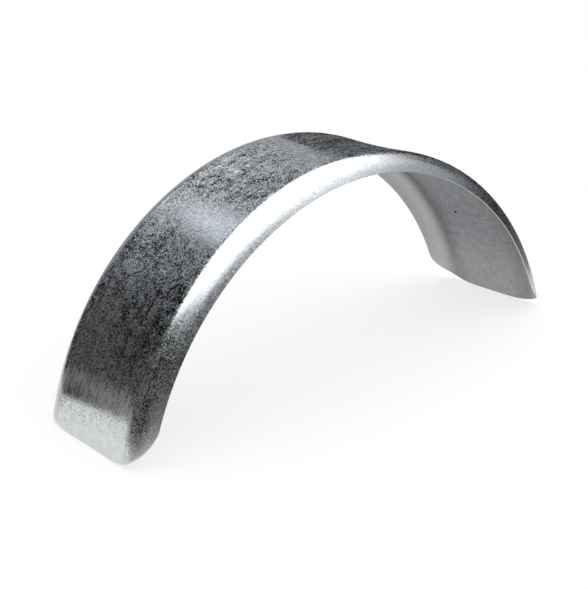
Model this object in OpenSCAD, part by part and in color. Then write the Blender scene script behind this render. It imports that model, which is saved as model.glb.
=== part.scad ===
// Trailer fender: one galvanised steel sheet with round corners, bent down along
// both sides and rolled into an arch that follows the wheel

/* [Arch] */
// Radius of the top of the arch, to the outer face along the middle of the tread
crown_r = 347.5; // [300:0.5:372]
// Radius of the two legs, which are a little flatter, to the same face
leg_r = 378.5; // [354:0.5:450]
// Angle from the top of the arch to the start of each leg
crown_angle = 20.5; // [5:0.5:45]
// Angle from the top of the arch to each cut end
end_angle = 76.75; // [60:0.25:84]

/* [Section] */
// Overall width, from one free edge to the other
fender_w = 200; // [197:1:230]
// Width of the tread between its two bend lines
tread_w = 152; // [120:1:154]
// Radius of the shallow hollow across the tread
dish_r = 1155; // [900:5:2500]
// Outer radius of the bend along each side
bend_r = 21; // [8:0.5:22]
// Angle that each side is bent down
bend_angle = 70; // [55:1:78]
// Thickness of the sheet
sheet_t = 1.5; // [1:0.1:3]

/* [Corners] */
// Radius of the four round corners
corner_r = 63; // [30:1:75]
// Tilt of the punch that cuts a corner, away from square to the tread
punch_tilt = 40; // [30:1:50]

/* [Hidden] */

// Fineness of the rolled arch, of the bends and corners, and of the wide dish
arch_fn = 180;
bend_fn = 72;
dish_fn = 360;

// Neighbouring faces of the section run this far into each other, so that they
// cross cleanly where they would only touch
blend = 0.002;
// Turn by which one shape of the section reaches into the next
lap = 8;
// Clearance of a shape that is cut away, past the shape that it is cut from
spare = 1;

// The dish is an arc through the outer face of the tread, centred above it
dish_half_angle = asin(tread_w / 2 / dish_r);
// The bend follows the dish without a kink, so its centre lies on the line
// from the dish's centre through the bend line
bend_y = (dish_r + bend_r) * sin(dish_half_angle);
bend_in = sqrt(pow(dish_r + bend_r - blend, 2) - pow(bend_y, 2)) - dish_r;

// The straight lip takes up what is left of the width
lip_l = (fender_w / 2 - bend_y - bend_r * sin(bend_angle)) / cos(bend_angle);
lip_in = bend_in - bend_r * cos(bend_angle) + lip_l * sin(bend_angle);

// The legs are centred this far below the centre of the crown
leg_drop = leg_r - crown_r;

// The arch stands on the inner edge of the tread's middle
foot_y = (leg_r - sheet_t) * cos(end_angle) - leg_drop * cos(crown_angle);

// Seen along the punch, the free edge bows outwards up the leg. The round
// corner ends on that edge, one corner radius up from the cut end.
edge_r = leg_r - lip_in;
edge_bow = edge_r - sqrt(pow(edge_r, 2) - pow(corner_r, 2));
corner_x = fender_w / 2 * cos(punch_tilt) + (lip_in + edge_bow) * sin(punch_tilt) - corner_r;
punch_w = 2 * corner_r;
punch_l = fender_w / 2;

// A pie slice of a disc, between two angles less than 180 apart
module slice(r, from, to) {
    middle = (from + to) / 2;
    reach = 2 * r / cos((to - from) / 2);
    intersection() {
        circle(r = r, $fn = bend_fn);
        polygon([[0, 0],
                 2 * r * [cos(from), sin(from)],
                 reach * [cos(middle), sin(middle)],
                 2 * r * [cos(to), sin(to)]]);
    }
}

// All that lies under a face of the section, which is depth below the outer
// face. x runs outwards from the wheel and y across it, from the tread's middle.
module under_face(depth, margin) {
    top = bend_r - depth + spare;
    difference() {
        union() {
            polygon([[-bend_in - margin, -bend_y],
                     [-bend_in, -bend_y],
                     [-bend_in + top * cos(dish_half_angle), top * sin(dish_half_angle) - bend_y],
                     [-bend_in + top * cos(dish_half_angle), bend_y - top * sin(dish_half_angle)],
                     [-bend_in, bend_y],
                     [-bend_in - margin, bend_y]]);
            for (side = [0, 1])
                mirror([0, side])
                    translate([-bend_in, bend_y])
                        under_bend(bend_r - depth, margin);
        }
        translate([dish_r, 0])
            circle(r = dish_r + depth, $fn = dish_fn);
    }
}

// One side of that region, about the centre of its bend: the bend and the lip
module under_bend(r, margin) {
    slice(r, -dish_half_angle - lap, bend_angle + lap);
    rotate(bend_angle)
        translate([-margin, 0])
            square([r - blend + margin, lip_l + margin]);
}

// The section of the sheet: what lies between its two faces
module section() {
    difference() {
        under_face(0, 0);
        under_face(sheet_t, spare);
    }
}

// The section rolled about the wheel's axis, from one angle to another
module rolled(r, from, to) {
    rotate_extrude(angle = to - from, start = from, $fn = arch_fn)
        translate([r, 0])
            section();
}

// The scrap of one corner: all that lies outside its quarter round
module corner_scrap() {
    difference() {
        translate([corner_x, -corner_r])
            square([punch_w, 2 * corner_r]);
        translate([corner_x, corner_r])
            circle(r = corner_r, $fn = bend_fn);
    }
}

// The punch stands in the plane of the cut end, tilted to one side, and goes
// through the bend of that side only
module corner_punch() {
    rotate([0, -90 - punch_tilt, 0])
        translate([0, 0, -punch_l])
            linear_extrude(height = punch_l)
                corner_scrap();
}

// One leg about its own centre, from its cut end up to where the crown starts
module leg() {
    cut_end = 90 + crown_angle - end_angle;
    difference() {
        rolled(leg_r, cut_end, 90);
        for (side = [0, 1])
            mirror([0, 0, side])
                rotate(cut_end)
                    translate([leg_r, 0, 0])
                        corner_punch();
    }
}

// Half of the arch, with the wheel's axis along Z. The line between leg and
// crown is upright while they are joined, so that they meet face to face.
module half_arch() {
    room = 2 * leg_r;
    intersection() {
        rotate(-crown_angle) {
            rolled(crown_r, 90, 90 + crown_angle + lap);
            translate([0, -leg_drop, 0])
                leg();
        }
        translate([0, -room / 2, -room / 2])
            cube(room);
    }
}

// The fender as it stands on its two cut ends
module fender() {
    color("silver")
        translate([0, 0, -foot_y])
            rotate([90, 0, 0])
                for (end = [0, 1])
                    mirror([end, 0, 0])
                        half_arch();
}

fender();
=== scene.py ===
"""Galvanised trailer fender: the looks of one bent and rolled steel sheet, in the part's own frame.

The fender is a sheet of steel with a shallow dish along its middle, both sides bent down, rolled into an arch
whose crown is a little rounder than its two legs. It stands on its two cut ends on a pale floor.
"""

import logging
import math
from dataclasses import dataclass, field
from enum import Enum

import bpy
import numpy as np
from mathutils import Matrix, Vector


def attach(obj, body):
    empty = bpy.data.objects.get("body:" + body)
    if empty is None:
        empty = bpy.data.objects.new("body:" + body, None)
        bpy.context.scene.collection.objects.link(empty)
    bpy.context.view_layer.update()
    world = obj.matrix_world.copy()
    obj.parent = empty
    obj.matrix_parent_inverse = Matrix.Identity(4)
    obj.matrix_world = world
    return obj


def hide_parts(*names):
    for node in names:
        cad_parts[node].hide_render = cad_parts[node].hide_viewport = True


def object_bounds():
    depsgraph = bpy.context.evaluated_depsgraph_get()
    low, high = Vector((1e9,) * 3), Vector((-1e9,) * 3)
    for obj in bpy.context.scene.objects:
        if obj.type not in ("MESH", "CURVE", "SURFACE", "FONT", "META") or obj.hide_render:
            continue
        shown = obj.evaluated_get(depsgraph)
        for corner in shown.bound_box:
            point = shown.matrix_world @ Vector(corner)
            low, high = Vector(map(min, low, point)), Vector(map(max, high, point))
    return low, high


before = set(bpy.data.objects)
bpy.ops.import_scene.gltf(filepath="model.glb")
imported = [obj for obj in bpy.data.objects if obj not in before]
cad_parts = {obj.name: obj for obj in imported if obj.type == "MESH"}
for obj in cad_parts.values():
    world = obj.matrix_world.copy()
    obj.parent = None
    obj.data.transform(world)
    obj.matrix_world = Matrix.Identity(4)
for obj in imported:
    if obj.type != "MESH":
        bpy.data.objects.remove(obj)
CAD_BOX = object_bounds()

LOG = logging.getLogger("fender")
MM = 0.001

Tree = bpy.types.NodeTree
Socket = bpy.types.NodeSocket

# A Mix node has sockets of the same names for each kind of data, so they are told apart by number
NUMBER_A, NUMBER_B = 2, 3
COLOUR_A, COLOUR_B, COLOUR_OUT = 6, 7, 2


def srgb(hex_colour: str) -> tuple[float, float, float, float]:
    """Turns an sRGB hex colour into linear RGBA.

    Args:
        hex_colour: Six hex digits after a hash.

    Returns:
        The linear colour with full alpha.
    """
    channels = [int(hex_colour[i : i + 2], 16) / 255 for i in (1, 3, 5)]
    linear = [c / 12.92 if c <= 0.04045 else ((c + 0.055) / 1.055) ** 2.4 for c in channels]
    return (*linear, 1.0)


class Face(Enum):
    """The two faces of the sheet and the cut edge between them, as values of the mesh attribute side."""

    OUTER = 0.0
    EDGE = 0.5
    INNER = 1.0


@dataclass(frozen=True)
class Section:
    """Section of the sheet across the tread, measured on its outer face, in metres and radians.

    The developed distance s runs across the sheet from the middle of the tread. The face is a shallow hollow,
    and its sides bend down softly, tightest in the middle of the bend.
    """

    dish_radius: float = 1155.0 * MM
    dish_end: float = 76.0 * MM
    bend_start: float = 63.0 * MM
    half_length: float = 111.09 * MM
    bend_angle: float = math.radians(69.1)
    lift: float = 1.2 * MM
    thickness: float = 1.5 * MM
    table_size: int = 2400

    def slope(self, far: np.ndarray) -> np.ndarray:
        """Angle by which the face has turned down, on either side of the middle.

        The hollow turns it up by the distance over the dish radius. The bend turns it down by its whole
        angle times x less the sine of a full turn of x over a full turn, where x runs from 0 to 1 along the
        bend, so that its curvature swells and fades like a bell.

        Args:
            far: Developed distances from the middle, never negative.

        Returns:
            The angle at each distance.
        """
        x = np.clip((far - self.bend_start) / (self.half_length - self.bend_start), 0.0, 1.0)
        bell = x - np.sin(2.0 * math.pi * x) / (2.0 * math.pi)
        return self.bend_angle * bell - np.minimum(far, self.dish_end) / self.dish_radius

    def turn(self, s: np.ndarray) -> np.ndarray:
        """Angle that the face's normal has turned outwards at the distance s, signed by its side."""
        return np.sign(s) * self.slope(np.abs(s))

    def place(self, s: np.ndarray) -> tuple[np.ndarray, np.ndarray]:
        """Place of the outer face's points in the section.

        They are the running sums of minus the sine and of the cosine of the slope, from the middle outwards,
        looked up in a fine table. The lift makes up for the height that the soft start of the bend costs its
        shoulder.

        Args:
            s: Developed distances from the middle, signed by their side.

        Returns:
            The height over the tread's middle line and the distance across, at each s.
        """
        table = np.linspace(0.0, self.half_length, self.table_size)
        middle = self.slope(0.5 * (table[1:] + table[:-1]))
        step = table[1]
        height = np.concatenate([[0.0], np.cumsum(-np.sin(middle) * step)])
        width = np.concatenate([[0.0], np.cumsum(np.cos(middle) * step)])
        far = np.abs(s)
        return np.interp(far, table, height) + self.lift, np.sign(s) * np.interp(far, table, width)


@dataclass(frozen=True)
class Arch:
    """Path of the tread's middle, seen from the side: a crown and two flatter legs, in metres and radians.

    The path length w runs from the top of the arch, and is negative towards -X.
    """

    crown_radius: float = 347.5 * MM
    leg_radius: float = 378.5 * MM
    crown_angle: float = math.radians(20.5)
    end_angle: float = math.radians(76.75)

    @property
    def crown_length(self) -> float:
        """Length of the crown's arc on one side of the top."""
        return self.crown_radius * self.crown_angle

    @property
    def half_length(self) -> float:
        """Length of the path from the top of the arch to a cut end."""
        return self.crown_length + self.leg_radius * (self.end_angle - self.crown_angle)

    def turn(self, w: np.ndarray) -> np.ndarray:
        """Angle of the path from the top: length over radius, on the crown and then on the leg.

        Args:
            w: Path lengths.

        Returns:
            The signed angle at each of them.
        """
        crown = np.minimum(np.abs(w), self.crown_length)
        leg = np.abs(w) - crown
        return np.sign(w) * (crown / self.crown_radius + leg / self.leg_radius)

    def place(self, w: np.ndarray, height: np.ndarray, foot: float) -> tuple[np.ndarray, np.ndarray]:
        """Points in side view.

        A point lies on the crown's circle about the wheel's centre, or on the leg's circle, whose centre lies
        further back along the normal at the place where the crown ends.

        Args:
            w: Path lengths.
            height: Heights off the path, outwards.
            foot: Height of the floor over the wheel's centre.

        Returns:
            The points' x and z.
        """
        angle = self.turn(w)
        drop = np.where(np.abs(w) > self.crown_length, self.leg_radius - self.crown_radius, 0.0)
        start = np.sign(w) * self.crown_angle
        radius = self.crown_radius + drop + height
        return (
            radius * np.sin(angle) - drop * np.sin(start),
            radius * np.cos(angle) - drop * np.cos(start) - foot,
        )


@dataclass(frozen=True)
class Corner:
    """Round corner of the sheet, punched at a slant through its bent side, in metres and radians."""

    radius: float = 63.0 * MM
    tilt: float = math.radians(40.0)
    rounds: int = 40

    def setback(self, s: np.ndarray, section: Section, arch: Arch) -> np.ndarray:
        """How far the cut edge lies back from the cut end, along the path.

        Seen along the punch the edge is a quarter circle between the cut end and the free edge. Its height
        over the cut end is the radius less the circle's height there. That height is measured square to the
        end, and rounds of substitution, each going half way, turn it into an angle of the curved leg.

        Args:
            s: Developed distances from the middle.
            section: The sheet's section.
            arch: The sheet's path.

        Returns:
            The path length that is cut off at each distance.
        """
        height, width = section.place(s)
        edge_height, half_width = section.place(np.array([section.half_length]))
        edge_radius = arch.leg_radius + edge_height[0]
        bow = edge_radius - math.sqrt(edge_radius**2 - self.radius**2)
        lip_in = arch.leg_radius - edge_radius
        start = half_width[0] * math.cos(self.tilt) + (lip_in + bow) * math.sin(self.tilt) - self.radius
        radial = arch.leg_radius + height
        angle = np.zeros_like(s)
        for _ in range(self.rounds):
            seen = np.abs(width) * math.cos(self.tilt)
            seen = seen + (arch.leg_radius - radial * np.cos(angle)) * math.sin(self.tilt) - start
            past = np.clip(seen, 0.0, self.radius)
            target = np.arcsin((self.radius - np.sqrt(self.radius**2 - past**2)) / radial)
            angle = 0.5 * (angle + target)
        return angle * arch.leg_radius


def node(
    tree: Tree, kind: str, inputs: dict[str | int, object] | None = None, **settings: object
) -> bpy.types.Node:
    """Adds one shader node with its settings and links.

    Args:
        tree: The node tree that the node joins.
        kind: The node's type, without the ShaderNode that all of them begin with.
        inputs: Each input socket's name or number, with a value, or the output socket that it is linked from.
        settings: The node's own properties.

    Returns:
        The new node.
    """
    added = tree.nodes.new("ShaderNode" + kind)
    for name, value in settings.items():
        setattr(added, name, value)
    for key, value in (inputs or {}).items():
        if isinstance(value, Socket):
            tree.links.new(value, added.inputs[key])
        else:
            added.inputs[key].default_value = value
    return added


def new_material(name: str) -> tuple[bpy.types.Material, Tree, bpy.types.Node]:
    """Makes a material that holds only its output node.

    Args:
        name: The real finish's name.

    Returns:
        The material, its node tree and the output node.
    """
    material = bpy.data.materials.new(name)
    material.use_nodes = True
    material.node_tree.nodes.clear()
    return material, material.node_tree, node(material.node_tree, "OutputMaterial")


@dataclass(frozen=True)
class Mark:
    """An oval mark on the flat sheet, in millimetres and degrees.

    It is at its strength within the core, a share of its half sizes, and fades to nothing at its border.
    """

    along: float
    across: float
    half_along: float
    half_across: float
    core: float
    strength: float = 1.0
    turn_deg: float = 0.0

    def cover(self, tree: Tree, flat: Socket) -> Socket:
        """How strongly the mark covers the sheet.

        Args:
            tree: The material's node tree.
            flat: Place on the flat sheet.

        Returns:
            The strength, or 0 outside the mark.
        """
        shares = node(
            tree,
            "Mapping",
            {
                "Vector": flat,
                "Location": (self.along, self.across, 0.0),
                "Rotation": (0.0, 0.0, math.radians(self.turn_deg)),
                "Scale": (self.half_along, self.half_across, 1.0),
            },
            vector_type="TEXTURE",
        ).outputs[0]
        away = node(tree, "VectorMath", {0: shares}, operation="LENGTH").outputs["Value"]
        return node(
            tree,
            "MapRange",
            {"Value": away, "From Min": 1.0, "From Max": self.core, "To Max": self.strength},
        ).outputs[0]


@dataclass(frozen=True)
class PaintedShading:
    """Painted light and shade: a tone that comes in along one direction of the flat sheet, alike on both
    sides of its middle.

    The axis is X along the sheet or Y across it. The tone goes from nothing at start_mm to its strength
    at end_mm.
    """

    axis: str
    start_mm: float
    end_mm: float
    colour: str
    strength: float


@dataclass(frozen=True)
class CoatPattern:
    """The patterns and places on the flat sheet that the zinc coat's colour, roughness and lean all follow.

    Each is an output socket: the place on the flat sheet, a random colour for each grain, the noise of the
    clusters of grains, and masks that are 1 on the wiped ends, on the bent sides and on the inner face.
    """

    flat: Socket
    cells: Socket
    cluster: Socket
    worn: Socket
    lip: Socket
    inner: Socket


@dataclass(frozen=True)
class GalvanisedFinish:
    """Hot-dip galvanised steel sheet: a bright zinc coat in frosted grains, duller on the inner face, whose
    colour is painted darker there as shade.

    Each grain leans its own way, so that it mirrors another part of the room than its neighbours do. That is
    the fine sparkle of dark and light specks on the tread. A lean is a share of the normal's length, and a
    size in millimetres is measured on the flat sheet.
    """

    # Colours, and how far from the edge's own value of side the cut steel starts and is whole
    zinc: str = "#d6dadd"
    grey_grain: str = "#b9bfc4"
    pale_film: str = "#eceeef"
    # The inner face's zinc is painted darker than the outer one: painted shade
    shaded_inner_zinc: str = "#a9acb1"
    inner_stain: str = "#4b4f54"
    cut_steel: str = "#c4c7c9"
    bare_pit: str = "#0e0f11"
    rim_span: tuple[float, float] = (0.3, 0.1)

    # Sizes of the patterns. The real grain is some 0.4 mm across, which is too fine to show in the render, so
    # it is drawn about twice as coarse.
    grain_mm: float = 0.85
    cluster_mm: float = 12.0
    cloud_mm: float = 60.0
    stain_mm: float = 2.0
    streak_mm: tuple[float, float] = (45.0, 1.3)
    sweep_mm: tuple[float, float] = (130.0, 7.0)
    streak_height_mm: float = 0.004

    # Where the wiped ends start and are whole, where they end across, how far they fray, and where the bent
    # sides start and are whole
    smooth_end_mm: tuple[float, float] = (405.0, 452.0)
    smooth_side_mm: tuple[float, float] = (68.0, 80.0)
    fray_mm: tuple[float, float] = (60.0, 8.0)
    lip_mm: tuple[float, float] = (74.0, 92.0)

    # How far the grains lean, and the share of them that lies flat
    grain_lean: float = 0.225
    inner_lean: float = 0.12
    flat_share: float = 0.3
    wiped_flat_share: float = 0.78
    cluster_lean: tuple[float, float] = (0.6, 1.3)
    cluster_span: tuple[float, float] = (0.3, 0.7)
    lip_calm: float = 0.45

    # Roughness, and the share of the grains that is frosted, which the patches raise and lower
    bright_roughness: float = 0.12
    frosted_roughness: float = 0.41
    lip_roughness: float = 0.24
    wiped_roughness: float = 0.06
    brushed_roughness: float = 0.42
    inner_roughness: float = 0.5
    frosted_share: float = 0.36
    frost_blur: float = 0.06
    patch_swing: float = 0.8
    wiped_share: float = 0.7
    brush_span: tuple[float, float] = (0.35, 0.65)
    brush_least: float = 0.35
    brush_in: float = 0.4
    brush_out: float = 0.6

    # The inner face's stains, and the painted light and shade over it: painted light towards the cut ends,
    # painted shade in the creases where the sides bend down, and painted light on the bent sides
    stain_span: tuple[float, float] = (0.35, 0.65)
    stain_fleck: float = 0.3
    stain_cluster: float = 0.35
    painted_lining_shading: tuple[PaintedShading, ...] = (
        # Painted light towards the cut ends
        PaintedShading("X", 340.0, 490.0, "#eceeef", 0.22),
        # Painted shade in the creases where the sides bend down
        PaintedShading("Y", 34.0, 76.0, "#54585d", 0.32),
        # Painted light on the bent sides
        PaintedShading("Y", 66.0, 100.0, "#eceeef", 0.5),
    )

    # One bare spot on the inner face, and the pale wipe marks on the outer one
    pit: Mark = Mark(346.8, 21.9, 4.816, 1.908, core=0.75, turn_deg=44.39)
    smudges: tuple[Mark, ...] = (
        Mark(-103.0, 28.0, 6.0, 24.0, core=0.2, strength=0.7),
        Mark(-212.0, 50.0, 16.0, 5.0, core=0.2, strength=0.5),
    )

    def material(self) -> bpy.types.Material:
        """Builds the coat's material on the sheet's own map, which holds millimetres of the flat sheet.

        Returns:
            The material.
        """
        # To the eye: a cold grey that sparkles, with soft mirror images of the panels in it, pale and smooth
        # at the tread's ends, and dull inside, where painted shade darkens it and painted light lifts the
        # bent sides
        coat, tree, output = new_material("hot-dip galvanised steel")
        side = node(tree, "Attribute", attribute_name="side").outputs["Fac"]
        pattern = self.pattern(tree, side)
        films = [
            node(
                tree, "Math", {0: smudge.cover(tree, pattern.flat), 1: pattern.cluster}, operation="MULTIPLY"
            ).outputs[0]
            for smudge in self.smudges
        ]
        rough = self.grain_roughness(tree, pattern, films)
        zinc = node(
            tree,
            "BsdfPrincipled",
            {
                "Base Color": self.colour(tree, pattern, films, side),
                "Metallic": 1.0,
                "Roughness": node(
                    tree, "Mix", {"Factor": pattern.inner, NUMBER_A: rough, NUMBER_B: self.inner_roughness}
                ).outputs[0],
                "Normal": self.leaning_normal(tree, pattern),
            },
        )
        tree.links.new(zinc.outputs[0], output.inputs["Surface"])
        return coat

    def pattern(self, tree: Tree, side: Socket) -> CoatPattern:
        """Lays out the patterns that the coat follows.

        Args:
            tree: The material's node tree.
            side: The mesh attribute side.

        Returns:
            The patterns' sockets.
        """
        flat = node(tree, "UVMap", uv_map="Sheet").outputs["UV"]
        start = 0.5 * (Face.EDGE.value + Face.INNER.value)
        inner = node(
            tree, "MapRange", {"Value": side, "From Min": start, "From Max": Face.INNER.value}
        ).outputs[0]
        cells = node(
            tree, "TexVoronoi", {"Vector": flat, "Scale": 1.0 / self.grain_mm}, voronoi_dimensions="2D"
        ).outputs["Color"]
        cluster = node(
            tree,
            "TexNoise",
            {"Vector": flat, "Scale": 1.0 / self.cluster_mm, "Detail": 1.0, "Roughness": 0.5},
            noise_dimensions="2D",
        ).outputs["Fac"]
        across = node(tree, "SeparateXYZ", {"Vector": flat}).outputs["Y"]
        across = node(tree, "Math", {0: across}, operation="ABSOLUTE").outputs[0]
        lip = node(
            tree,
            "MapRange",
            {"Value": across, "From Min": self.lip_mm[0], "From Max": self.lip_mm[1]},
            interpolation_type="SMOOTHSTEP",
        ).outputs[0]
        return CoatPattern(flat, cells, cluster, self.smooth_ends(tree, flat), lip, inner)

    def streaks(self, tree: Tree, flat: Socket, size_mm: tuple[float, float]) -> Socket:
        """Noise drawn out along the sheet, like the marks of rolling.

        Args:
            tree: The material's node tree.
            flat: Place on the flat sheet.
            size_mm: Length and width of a mark.

        Returns:
            The noise, from 0 to 1.
        """
        stretch = (1.0 / size_mm[0], 1.0 / size_mm[1], 1.0)
        lines = node(tree, "VectorMath", {0: flat, 1: stretch}, operation="MULTIPLY").outputs[0]
        return node(
            tree, "TexNoise", {"Vector": lines, "Scale": 1.0, "Detail": 2.0}, noise_dimensions="2D"
        ).outputs["Fac"]

    def smooth_ends(self, tree: Tree, flat: Socket) -> Socket:
        """Marks the tread at the cut ends, where rolling and handling have wiped the grain smooth.

        The brushed streaks shift its border to and fro by the fray, so that it ends in fine hairs.

        Args:
            tree: The material's node tree.
            flat: Place on the flat sheet.

        Returns:
            1 where it is wiped, and 0 elsewhere.
        """
        places = node(tree, "VectorMath", {0: flat}, operation="ABSOLUTE").outputs[0]
        hairs = self.streaks(tree, flat, self.streak_mm)
        shift = node(tree, "Math", {0: hairs, 1: 0.5}, operation="SUBTRACT").outputs[0]
        fray = (*self.fray_mm, 0.0)
        fray = node(tree, "VectorMath", {0: fray, "Scale": shift}, operation="SCALE").outputs[0]
        places = node(tree, "VectorMath", {0: places, 1: fray}, operation="ADD").outputs[0]
        places = node(tree, "SeparateXYZ", {"Vector": places}).outputs
        start, end = self.smooth_end_mm
        along = node(
            tree,
            "MapRange",
            {"Value": places["X"], "From Min": start, "From Max": end},
            interpolation_type="SMOOTHSTEP",
        ).outputs[0]
        start, end = self.smooth_side_mm
        across = node(
            tree,
            "MapRange",
            {"Value": places["Y"], "From Min": start, "From Max": end, "To Min": 1.0, "To Max": 0.0},
            interpolation_type="SMOOTHSTEP",
        ).outputs[0]
        return node(tree, "Math", {0: along, 1: across}, operation="MULTIPLY").outputs[0]

    def colour(self, tree: Tree, pattern: CoatPattern, films: list[Socket], side: Socket) -> Socket:
        """Colour of the sheet: the zinc outside, the lining with its painted light and shade inside, the cut
        edge and the bare spot.

        Args:
            tree: The material's node tree.
            pattern: The patterns that the coat follows.
            films: How strongly each pale wipe mark covers the zinc.
            side: The mesh attribute side.

        Returns:
            The colour.
        """
        grey = node(tree, "SeparateColor", {"Color": pattern.cells}).outputs["Green"]
        grey = node(tree, "Math", {0: grey, 1: pattern.cluster}, operation="MULTIPLY").outputs[0]
        rim = node(tree, "Math", {0: side, 1: Face.EDGE.value}, operation="SUBTRACT").outputs[0]
        rim = node(tree, "Math", {0: rim}, operation="ABSOLUTE").outputs[0]
        start, end = self.rim_span
        rim = node(tree, "MapRange", {"Value": rim, "From Min": start, "From Max": end}).outputs[0]
        bare = node(
            tree, "Math", {0: self.pit.cover(tree, pattern.flat), 1: pattern.inner}, operation="MULTIPLY"
        ).outputs[0]
        colour = srgb(self.zinc)
        for cover, layer in (
            (grey, srgb(self.grey_grain)),
            *((film, srgb(self.pale_film)) for film in films),
            # The inner face: zinc painted darker as shade, its stains, and painted light and shade
            (pattern.inner, self.lining(tree, pattern)),
            (rim, srgb(self.cut_steel)),
            (bare, srgb(self.bare_pit)),
        ):
            colour = node(
                tree, "Mix", {"Factor": cover, COLOUR_A: colour, COLOUR_B: layer}, data_type="RGBA"
            ).outputs[COLOUR_OUT]
        return colour

    def lining(self, tree: Tree, pattern: CoatPattern) -> Socket:
        """Colour of the inner face: zinc painted darker as shade, with fine stains, and painted light and
        shade laid over it.

        Args:
            tree: The material's node tree.
            pattern: The patterns that the coat follows.

        Returns:
            The colour.
        """
        blotches = node(
            tree,
            "TexNoise",
            {"Vector": pattern.flat, "Scale": 1.0 / self.stain_mm, "Detail": 1.0, "Roughness": 0.5},
            noise_dimensions="2D",
        ).outputs["Fac"]
        start, end = self.stain_span
        stain = node(tree, "MapRange", {"Value": blotches, "From Min": start, "From Max": end}).outputs[0]
        fleck = node(tree, "SeparateColor", {"Color": pattern.cells}).outputs["Red"]
        for share, part in ((self.stain_fleck, fleck), (self.stain_cluster, pattern.cluster)):
            stain = node(tree, "Mix", {"Factor": share, NUMBER_A: stain, NUMBER_B: part}).outputs[0]
        # The inner face's zinc, painted darker as shade, under its stains
        colour = node(
            tree,
            "Mix",
            {"Factor": stain, COLOUR_A: srgb(self.shaded_inner_zinc), COLOUR_B: srgb(self.inner_stain)},
            data_type="RGBA",
        ).outputs[COLOUR_OUT]
        places = node(tree, "VectorMath", {0: pattern.flat}, operation="ABSOLUTE").outputs[0]
        places = node(tree, "SeparateXYZ", {"Vector": places}).outputs
        # Painted light and shade over the inner face: lighter and darker bands by where light falls
        for shade in self.painted_lining_shading:
            cover = node(
                tree,
                "MapRange",
                {
                    "Value": places[shade.axis],
                    "From Min": shade.start_mm,
                    "From Max": shade.end_mm,
                    "To Max": shade.strength,
                },
                interpolation_type="SMOOTHSTEP",
            ).outputs[0]
            colour = node(
                tree,
                "Mix",
                {"Factor": cover, COLOUR_A: colour, COLOUR_B: srgb(shade.colour)},
                data_type="RGBA",
            ).outputs[COLOUR_OUT]
        return colour

    def grain_roughness(self, tree: Tree, pattern: CoatPattern, films: list[Socket]) -> Socket:
        """Roughness of each grain: bright ones mirror the room, frosted ones scatter the light of the panels.

        A grain is frosted where its random number, plus the noise of the clusters, of the clouds and of long
        sweeps of the rolling, passes one less the frosted share, and more of them are frosted under a film.
        The sides are a little duller where they are bright. The wiped ends are nearly clear.

        Args:
            tree: The material's node tree.
            pattern: The patterns that the coat follows.
            films: How strongly each pale wipe mark covers the zinc.

        Returns:
            The roughness.
        """
        patches = node(
            tree,
            "TexNoise",
            {"Vector": pattern.flat, "Scale": 1.0 / self.cloud_mm, "Detail": 3.0, "Roughness": 0.55},
            noise_dimensions="2D",
        ).outputs["Fac"]
        noises = (pattern.cluster, self.streaks(tree, pattern.flat, self.sweep_mm))
        for noise in noises:
            patches = node(tree, "Math", {0: patches, 1: noise}, operation="ADD").outputs[0]
        patches = node(
            tree,
            "MapRange",
            {
                "Value": patches,
                "From Max": len(noises) + 1.0,
                "To Min": -self.patch_swing,
                "To Max": self.patch_swing,
            },
        ).outputs[0]
        lot = node(tree, "SeparateColor", {"Color": pattern.cells}).outputs["Red"]
        for part in (patches, *films):
            lot = node(tree, "Math", {0: lot, 1: part}, operation="ADD").outputs[0]
        edge = 1.0 - self.frosted_share
        frosted = node(
            tree,
            "MapRange",
            {"Value": lot, "From Min": edge - self.frost_blur, "From Max": edge + self.frost_blur},
        ).outputs[0]
        wiped = node(tree, "Math", {0: pattern.worn, 1: self.wiped_share}, operation="MULTIPLY").outputs[0]
        rough = self.bright_roughness
        for cover, layer in (
            (pattern.lip, self.lip_roughness),
            (frosted, self.frosted_roughness),
            (wiped, self.wiped_roughness),
            (self.brushing(tree, pattern), self.brushed_roughness),
        ):
            rough = node(tree, "Mix", {"Factor": cover, NUMBER_A: rough, NUMBER_B: layer}).outputs[0]
        return rough

    def brushing(self, tree: Tree, pattern: CoatPattern) -> Socket:
        """Marks the brushed streaks, which lie where the wiping starts and end where it is whole.

        Args:
            tree: The material's node tree.
            pattern: The patterns that the coat follows.

        Returns:
            How brushed the zinc is, from 0 to 1.
        """
        start, end = self.brush_span
        lines = node(
            tree,
            "MapRange",
            {
                "Value": self.streaks(tree, pattern.flat, self.streak_mm),
                "From Min": start,
                "From Max": end,
                "To Min": self.brush_least,
            },
        ).outputs[0]
        rise = node(tree, "MapRange", {"Value": pattern.worn, "From Max": self.brush_in}).outputs[0]
        fall = node(
            tree,
            "MapRange",
            {"Value": pattern.worn, "From Min": self.brush_out, "To Min": 1.0, "To Max": 0.0},
        ).outputs[0]
        for part in (rise, fall):
            lines = node(tree, "Math", {0: lines, 1: part}, operation="MULTIPLY").outputs[0]
        return lines

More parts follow.
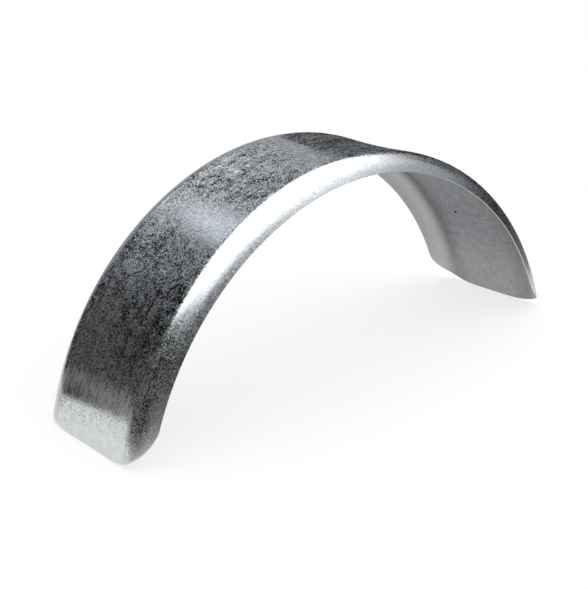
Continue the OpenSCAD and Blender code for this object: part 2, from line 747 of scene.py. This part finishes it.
    def leaning_normal(self, tree: Tree, pattern: CoatPattern) -> Socket:
        """The face's normal, leant by rolling streaks along the sheet and by a random amount in each grain.

        A grain leans by its random colour less a half, times another random number that is nought for the
        share of grains that lie flat. The clusters make some patches livelier, and the bent sides are calmer.

        Args:
            tree: The material's node tree.
            pattern: The patterns that the coat follows.

        Returns:
            The leant normal.
        """
        streaked = node(
            tree,
            "Bump",
            {
                "Strength": 1.0,
                "Distance": self.streak_height_mm * MM,
                "Height": self.streaks(tree, pattern.flat, self.streak_mm),
            },
        ).outputs["Normal"]
        blue = node(tree, "SeparateColor", {"Color": pattern.cells}).outputs["Blue"]
        level = node(
            tree,
            "MapRange",
            {"Value": pattern.worn, "To Min": self.flat_share, "To Max": self.wiped_flat_share},
        ).outputs[0]
        weight = node(
            tree, "MapRange", {"Value": blue, "From Min": level, "To Max": self.grain_lean}
        ).outputs[0]
        uneven = node(
            tree,
            "MapRange",
            {
                "Value": pattern.cluster,
                "From Min": self.cluster_span[0],
                "From Max": self.cluster_span[1],
                "To Min": self.cluster_lean[0],
                "To Max": self.cluster_lean[1],
            },
        ).outputs[0]
        calm = node(
            tree, "MapRange", {"Value": pattern.lip, "To Min": 1.0, "To Max": self.lip_calm}
        ).outputs[0]
        for part in (uneven, calm):
            weight = node(tree, "Math", {0: weight, 1: part}, operation="MULTIPLY").outputs[0]
        weight = node(
            tree, "Mix", {"Factor": pattern.inner, NUMBER_A: weight, NUMBER_B: self.inner_lean}
        ).outputs[0]
        centred = node(
            tree, "VectorMath", {0: pattern.cells, 1: (0.5, 0.5, 0.5)}, operation="SUBTRACT"
        ).outputs[0]
        lean = node(tree, "VectorMath", {0: centred, "Scale": weight}, operation="SCALE").outputs[0]
        normal = node(tree, "VectorMath", {0: streaked, 1: lean}, operation="ADD").outputs[0]
        return node(tree, "VectorMath", {0: normal}, operation="NORMALIZE").outputs[0]


@dataclass
class Fender:
    """The fender's one sheet: its two faces and the cut edge all round, as one closed mesh."""

    section: Section = field(default_factory=Section)
    arch: Arch = field(default_factory=Arch)
    corner: Corner = field(default_factory=Corner)
    finish: GalvanisedFinish = field(default_factory=GalvanisedFinish)
    edge_radius: float = 0.3 * MM
    even_half: float = 50.0 * MM
    rows: int = 320
    tread_columns: int = 30
    corner_columns: int = 40
    edge_steps: int = 3
    foot_samples: int = 101

    @property
    def foot(self) -> float:
        """Height of the floor, on which the lowest point of the cut ends stands.

        Returns:
            Its height over the wheel's centre.
        """
        s = np.linspace(-self.section.bend_start, self.section.bend_start, self.foot_samples)
        depth = self.section.place(s)[0] - self.section.thickness
        _, low = self.arch.place(np.full_like(s, self.arch.half_length), depth, 0.0)
        return float(low.min()) - CAD_BOX[0][2]

    def columns(self) -> np.ndarray:
        """Places the grid's columns: even on the tread, and at even angles of the round corner.

        Returns:
            Their developed distances.
        """
        half = self.section.half_length - self.edge_radius
        tread = np.linspace(-self.even_half, self.even_half, self.tread_columns + 1)
        turn = np.linspace(0.0, math.pi / 2, self.corner_columns + 1)[1:]
        side = self.even_half + (half - self.even_half) * np.sin(turn)
        return np.concatenate([-side[::-1], tread, side])

    def grid(self) -> tuple[np.ndarray, np.ndarray]:
        """Lays out the flat sheet's grid, inset from the cut edge by its rounding.

        Returns:
            The path length and the developed distance of each grid point.
        """
        s = self.columns()
        end = self.arch.half_length - self.corner.setback(s, self.section, self.arch) - self.edge_radius
        v = np.linspace(-1.0, 1.0, self.rows + 1)
        return v[:, None] * end[None, :], np.broadcast_to(s, (self.rows + 1, len(s))).copy()

    def surface(self, w: np.ndarray, s: np.ndarray, depth: np.ndarray) -> np.ndarray:
        """Points of the rolled sheet.

        The section's point is moved back along the section's normal by the depth, and the section is then
        carried round the arch by the path length w.

        Args:
            w: Path lengths.
            s: Developed distances from the middle.
            depth: Depths under the outer face.

        Returns:
            The points, with their three coordinates along the last axis.
        """
        height, width = self.section.place(s)
        turn = self.section.turn(s)
        height = height - depth * np.cos(turn)
        width = width - depth * np.sin(turn)
        x, z = self.arch.place(w, height, self.foot)
        return np.stack([x, width, z], axis=-1)

    def cut_edge(self, w: np.ndarray, s: np.ndarray) -> tuple[np.ndarray, np.ndarray, np.ndarray]:
        """Rings of points round the sheet's cut edge, from the outer face to the inner one.

        Each ring is the grid's border moved outwards, square to its own run, by the edge radius times the
        sine of an angle, and sunk by the edge radius less its cosine part. The angle makes a quarter turn on
        the way to the middle of the edge and the same one back.

        Args:
            w: Path lengths of the border's points, in order.
            s: Their developed distances.

        Returns:
            Path length, developed distance and depth of each point, a row to a ring.
        """
        step_w = np.roll(w, -1) - np.roll(w, 1)
        step_s = np.roll(s, -1) - np.roll(s, 1)
        length = np.hypot(step_w, step_s)
        out_w, out_s = -step_s / length, step_w / length
        outwards = np.sign(np.sum(out_w * w + out_s * s))
        turn = np.linspace(0.0, math.pi / 2, self.edge_steps + 1)[1:]
        reach = self.edge_radius * np.sin(turn)
        sink = self.edge_radius * (1.0 - np.cos(turn))
        reach = np.concatenate([reach, reach[::-1]]) * outwards
        sink = np.concatenate([sink, self.section.thickness - sink[::-1]])
        ring_w = w[None] + reach[:, None] * out_w[None]
        ring_s = s[None] + reach[:, None] * out_s[None]
        return ring_w, ring_s, np.broadcast_to(sink[:, None], ring_w.shape)

    def build(self) -> bpy.types.Object:
        """Builds the sheet's mesh, its flat map and its side attribute.

        The vertices are the outer face's grid, the inner face's grid and the rings of the cut edge.

        Returns:
            The sheet's object.
        """
        w, s = self.grid()
        rows, columns = w.shape
        index = np.arange(rows * columns).reshape(rows, columns)
        border = np.concatenate([index[:-1, 0], index[-1, :-1], index[:0:-1, -1], index[0, :0:-1]])
        ring_w, ring_s, ring_depth = self.cut_edge(w.ravel()[border], s.ravel()[border])
        layers = (
            (w, s, np.zeros_like(w), Face.OUTER),
            (w, s, np.full_like(w, self.section.thickness), Face.INNER),
            (ring_w, ring_s, ring_depth, Face.EDGE),
        )
        points = np.concatenate([self.surface(*layer[:3]).reshape(-1, 3) for layer in layers])
        flat = np.concatenate([np.stack(layer[:2], -1).reshape(-1, 2) for layer in layers])
        side = np.concatenate([np.full(layer[0].size, layer[3].value) for layer in layers])
        corners = (index[:-1, :-1], index[:-1, 1:], index[1:, 1:], index[1:, :-1])
        quads = np.stack(corners, -1).reshape(-1, 4)
        ring = 2 * w.size + np.arange(ring_w.size).reshape(ring_w.shape)
        rings = np.concatenate([border[None], ring, border[None] + w.size])
        ahead = np.roll(rings, -1, axis=1)
        rim = np.stack([rings[:-1], rings[1:], ahead[1:], ahead[:-1]], -1).reshape(-1, 4)
        faces = np.concatenate([quads[:, ::-1], quads + w.size, rim])
        return sheet_object("fender_sheet", points, faces, flat, side)

    def dress(self, piece: bpy.types.Object) -> None:
        """Gives the sheet its zinc coat."""
        piece.data.materials.append(self.finish.material())


def sheet_object(
    name: str, points: np.ndarray, faces: np.ndarray, flat: np.ndarray, side: np.ndarray
) -> bpy.types.Object:
    """Makes a smooth mesh object out of arrays.

    Args:
        name: Name of the object.
        points: Places of the vertices, in metres.
        faces: Four vertex numbers a face, anticlockwise from outside.
        flat: Place of each vertex on the flat sheet, in metres.
        side: Value of Face at each vertex.

    Returns:
        The object, at the origin.
    """
    mesh = bpy.data.meshes.new(name)
    mesh.from_pydata(points.tolist(), [], faces.tolist())
    mesh.polygons.foreach_set("use_smooth", np.ones(len(faces), dtype=bool))
    layer = mesh.uv_layers.new(name="Sheet")
    corners = np.empty(len(mesh.loops), dtype=np.int32)
    mesh.loops.foreach_get("vertex_index", corners)
    layer.data.foreach_set("uv", (flat[corners] / MM).astype(np.float32).ravel())
    attribute = mesh.attributes.new("side", "FLOAT", "POINT")
    attribute.data.foreach_set("value", side.astype(np.float32))
    mesh.validate()
    mesh.update()
    piece = bpy.data.objects.new(name, mesh)
    bpy.context.scene.collection.objects.link(piece)
    return piece


@dataclass(frozen=True)
class StudioFloor:
    """Pale matt floor, plain white in the camera and near the part in the metal, with a soft shadow.

    A pair holds the distances from the origin, or the places along one axis, between which a tone changes.
    All are in metres.
    """

    paint: str = "#f2f2f0"
    warm: str = "#fffdfa"
    radius: float = 60.0
    sides: int = 96
    shadow_radius: tuple[float, float] = (0.4, 1.0)
    shadow_share: float = 0.22
    lit_radius: tuple[float, float] = (1.0, 2.2)
    lit_far: float = 0.12
    lit_front: tuple[float, float] = (-0.32, -0.09)
    lit_right: tuple[float, float] = (0.7, 0.45)
    lit_past: float = 0.15

    def build(self) -> None:
        """Builds the floor: a round disc at the height of the cut ends."""
        angle = np.linspace(0.0, 2 * math.pi, self.sides, endpoint=False)
        rim = np.stack([self.radius * np.cos(angle), self.radius * np.sin(angle), 0 * angle], -1)
        mesh = bpy.data.meshes.new("studio_floor")
        mesh.from_pydata(rim.tolist(), [], [list(range(self.sides))])
        mesh.materials.append(self.material())
        floor = bpy.data.objects.new("studio_floor", mesh)
        bpy.context.scene.collection.objects.link(floor)

    def material(self) -> bpy.types.Material:
        """Builds the floor's matt paint.

        For rays from the camera, and for those that metal or glass passes on, the paint's own light takes the
        place of a share of its shading, which keeps the shadow near the part and makes the rest plain white.

        Returns:
            The material.
        """
        # To the eye: an even white sheet of paper, with a faint soft shadow
        made, tree, output = new_material("matt white floor paint")
        place = node(tree, "TexCoord").outputs["Object"]
        share = node(
            tree,
            "MapRange",
            {
                "Value": node(tree, "VectorMath", {0: place}, operation="LENGTH").outputs["Value"],
                "From Min": self.shadow_radius[0],
                "From Max": self.shadow_radius[1],
                "To Min": 1.0 - self.shadow_share,
            },
            interpolation_type="SMOOTHSTEP",
        ).outputs[0]
        path = node(tree, "LightPath").outputs
        mirrored = node(
            tree, "Math", {0: path["Is Glossy Ray"], 1: path["Is Transmission Ray"]}, operation="MAXIMUM"
        ).outputs[0]
        seen = node(tree, "Math", {0: path["Is Camera Ray"], 1: mirrored}, operation="MAXIMUM").outputs[0]
        share = node(tree, "Math", {0: seen, 1: share}, operation="MULTIPLY").outputs[0]
        strength = node(
            tree, "Mix", {"Factor": mirrored, NUMBER_A: 1.0, NUMBER_B: self.mirrored_light(tree, place)}
        ).outputs[0]
        tone = node(
            tree,
            "Mix",
            {"Factor": mirrored, COLOUR_A: (1.0, 1.0, 1.0, 1.0), COLOUR_B: srgb(self.warm)},
            data_type="RGBA",
        ).outputs[COLOUR_OUT]
        paint = node(tree, "BsdfDiffuse", {"Color": srgb(self.paint)})
        glow = node(tree, "Emission", {"Color": tone, "Strength": strength})
        mixed = node(tree, "MixShader", {0: share, 1: paint.outputs[0], 2: glow.outputs[0]})
        tree.links.new(mixed.outputs[0], output.inputs["Surface"])
        return made

    def mirrored_light(self, tree: Tree, place: Socket) -> Socket:
        """How white the floor is in the metal: less past the panels' light, in front and to the right.

        Args:
            tree: The material's node tree.
            place: Place on the floor.

        Returns:
            The light's strength.
        """
        lit = node(
            tree,
            "MapRange",
            {
                "Value": node(tree, "VectorMath", {0: place}, operation="LENGTH").outputs["Value"],
                "From Min": self.lit_radius[0],
                "From Max": self.lit_radius[1],
                "To Min": 1.0,
                "To Max": self.lit_far,
            },
            interpolation_type="SMOOTHSTEP",
        ).outputs[0]
        places = node(tree, "SeparateXYZ", {"Vector": place}).outputs
        for axis, (dark, white) in (("Y", self.lit_front), ("X", self.lit_right)):
            side = node(
                tree,
                "MapRange",
                {"Value": places[axis], "From Min": dark, "From Max": white, "To Min": self.lit_past},
                interpolation_type="SMOOTHSTEP",
            ).outputs[0]
            lit = node(tree, "Math", {0: lit, 1: side}, operation="MULTIPLY").outputs[0]
        return lit


@dataclass(frozen=True)
class StudioTent:
    """Dark felt tent around the set, which the camera looks through: the metal's dark side comes from it."""

    felt: str = "#35363a"
    radius: float = 7.0
    lowest: float = -0.01
    highest: float = math.pi / 2 - 0.02
    steps: int = 24
    sides: int = 48

    def build(self) -> None:
        """Builds the tent: a half sphere, whose points lie at even angles round it and up it."""
        around = np.linspace(0.0, 2 * math.pi, self.sides, endpoint=False)
        up = np.linspace(self.lowest, self.highest, self.steps)
        ring, rise = np.cos(up)[:, None], np.sin(up)[:, None]
        shell = np.stack([ring * np.cos(around), ring * np.sin(around), rise * np.ones_like(around)], -1)
        index = np.arange(self.steps * self.sides).reshape(self.steps, self.sides)
        ahead = np.roll(index, -1, axis=1)
        quads = np.stack([index[:-1], index[1:], ahead[1:], ahead[:-1]], -1).reshape(-1, 4)
        mesh = bpy.data.meshes.new("studio_tent")
        mesh.from_pydata(self.radius * shell.reshape(-1, 3), [], quads.tolist() + [index[-1].tolist()])
        mesh.materials.append(self.material())
        tent = bpy.data.objects.new("studio_tent", mesh)
        tent.visible_camera = False
        tent.visible_shadow = False
        bpy.context.scene.collection.objects.link(tent)

    def material(self) -> bpy.types.Material:
        """Builds the tent's felt.

        Returns:
            The material.
        """
        # To the eye: a black that the metal shows as a deep cold grey
        made, tree, output = new_material("dark felt")
        felt = node(tree, "BsdfDiffuse", {"Color": srgb(self.felt)})
        tree.links.new(felt.outputs[0], output.inputs["Surface"])
        return made


@dataclass(frozen=True)
class Softbox:
    """A flat, evenly lit panel that faces a point of the part. Radiance 1 mirrors as plain white."""

    name: str
    centre: tuple[float, float, float]
    aim: tuple[float, float, float]
    width: float
    depth: float
    radiance: float
    turn_deg: float = 0.0
    tint: str = "#ffffff"

    def build(self) -> None:
        """Builds the panel as an area lamp, whose power is its radiance times pi times its area."""
        lamp = bpy.data.lights.new(self.name, "AREA")
        lamp.shape = "RECTANGLE"
        lamp.size, lamp.size_y = self.width, self.depth
        lamp.energy = self.radiance * math.pi * self.width * self.depth
        lamp.color = srgb(self.tint)[:3]
        panel = bpy.data.objects.new(self.name, lamp)
        panel.location = self.centre
        facing = Vector(self.aim) - Vector(self.centre)
        upright = facing.to_track_quat("-Z", "Y").to_matrix()
        spin = Matrix.Rotation(math.radians(self.turn_deg), 3, "Z")
        panel.rotation_euler = (spin @ upright).to_euler()
        panel.visible_camera = False
        bpy.context.scene.collection.objects.link(panel)


@dataclass(frozen=True)
class BackCard:
    """Pale card behind the part, seen in the metal only: grey below, with a soft bright spot over it."""

    left: float = -0.75
    right: float = 1.85
    top: float = 2.7
    back: float = 2.2
    tint: str = "#f1f5ff"
    grey: float = 0.4
    grey_top: tuple[float, float] = (1.35, 1.6)
    spot_place: tuple[float, float, float] = (-0.1, 2.2, 1.87)
    spot_size: tuple[float, float] = (0.5, 0.34)
    spot: float = 1.6

    def build(self) -> None:
        """Builds the card, upright and facing the part."""
        corners = [(self.left, 0.0), (self.left, self.top), (self.right, self.top), (self.right, 0.0)]
        mesh = bpy.data.meshes.new("back_card")
        mesh.from_pydata([(x, self.back, z) for x, z in corners], [], [(0, 3, 2, 1)])
        mesh.materials.append(self.material())
        card = bpy.data.objects.new("back_card", mesh)
        card.visible_camera = False
        card.visible_shadow = False
        bpy.context.scene.collection.objects.link(card)

    def material(self) -> bpy.types.Material:
        """Builds the card's own light: the grey fades out at its top, and the spot fades from its middle.

        Returns:
            The material.
        """
        # To the eye: a dim window behind the arch, whose brightest part glows in the upper tread
        made, tree, output = new_material("lit studio card")
        place = node(tree, "TexCoord").outputs["Object"]
        height = node(tree, "SeparateXYZ", {"Vector": place}).outputs["Z"]
        start, end = self.grey_top
        low = node(
            tree,
            "MapRange",
            {"Value": height, "From Min": start, "From Max": end, "To Min": self.grey, "To Max": 0.0},
            interpolation_type="SMOOTHSTEP",
        ).outputs[0]
        away = node(tree, "VectorMath", {0: place, 1: self.spot_place}, operation="SUBTRACT").outputs[0]
        shape = (1.0 / self.spot_size[0], 0.0, 1.0 / self.spot_size[1])
        away = node(tree, "VectorMath", {0: away, 1: shape}, operation="MULTIPLY").outputs[0]
        away = node(tree, "VectorMath", {0: away}, operation="LENGTH").outputs["Value"]
        spot = node(
            tree,
            "MapRange",
            {"Value": away, "To Min": self.spot, "To Max": 0.0},
            interpolation_type="SMOOTHSTEP",
        ).outputs[0]
        light = node(tree, "Math", {0: low, 1: spot}, operation="ADD").outputs[0]
        glow = node(tree, "Emission", {"Color": srgb(self.tint), "Strength": light})
        tree.links.new(glow.outputs[0], output.inputs["Surface"])
        return made


@dataclass(frozen=True)
class Studio:
    """The room: a pale floor, a wide panel overhead, and dim cards around, in a dark tent."""

    floor: StudioFloor = field(default_factory=StudioFloor)
    tent: StudioTent = field(default_factory=StudioTent)
    back_card: BackCard = field(default_factory=BackCard)
    panels: tuple[Softbox, ...] = (
        Softbox("overhead_panel", (0.275, -1.05, 2.0), (0.275, -1.05, 0.0), 4.05, 5.6, 2.0, turn_deg=12.0),
        Softbox("overhead_wing", (2.9, -1.2, 2.0), (2.9, -1.2, 0.0), 1.0, 4.0, 0.6, turn_deg=12.0),
        Softbox("right_card", (2.0, -1.2, 0.95), (0.0, 0.0, 0.2), 1.2, 1.0, 0.5, tint="#f1f5ff"),
        Softbox("left_card", (-2.3, 1.3, 0.8), (0.0, 0.0, 0.2), 2.0, 1.5, 0.045),
        Softbox("front_card", (0.5, -2.3, 0.5), (0.0, 0.0, 0.2), 1.4, 0.9, 0.25),
    )

    def build(self) -> None:
        """Builds the room, under a plain white world that shows behind the floor."""
        for piece in (self.floor, self.tent, self.back_card, *self.panels):
            piece.build()
        world = bpy.data.worlds.new("white_backdrop")
        world.use_nodes = True
        background = world.node_tree.nodes["Background"]
        background.inputs["Color"].default_value = (1.0, 1.0, 1.0, 1.0)
        background.inputs["Strength"].default_value = 1.0
        bpy.context.scene.world = world


@dataclass(frozen=True)
class ViewPoint:
    """The camera, at the photograph's viewing angle: from the left of the near end, looking a little down."""

    place: tuple[float, float, float] = (-0.9652, -1.1096, 0.6512)
    turn_deg: tuple[float, float, float] = (69.198, 2.058, -40.668)
    focal_px: float = 1189.9
    image_px: float = 589.0
    sensor_mm: float = 36.0
    clip: tuple[float, float] = (0.01, 200.0)

    def build(self) -> None:
        """Builds the camera. The sensor's width is taken for the image's longer side, which is its height."""
        lens = bpy.data.cameras.new("view")
        lens.sensor_width = self.sensor_mm
        lens.lens = self.focal_px * self.sensor_mm / self.image_px
        lens.clip_start, lens.clip_end = self.clip
        camera = bpy.data.objects.new("view", lens)
        camera.location = self.place
        camera.rotation_euler = [math.radians(angle) for angle in self.turn_deg]
        bpy.context.scene.collection.objects.link(camera)
        bpy.context.scene.camera = camera


def main() -> None:
    """Builds the camera, the fender and the room, and reports the fender sheet's faces."""
    bpy.context.scene.view_settings.view_transform = "Standard"
    ViewPoint().build()
    fender = Fender()
    piece = fender.build()
    fender.dress(piece)
    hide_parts("fender")
    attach(piece, "root")
    LOG.info("%s: %d faces", piece.name, len(piece.data.polygons))
    Studio().build()


if __name__ == "__main__":
    logging.basicConfig(level=logging.INFO, format="%(name)s: %(message)s")
    main()
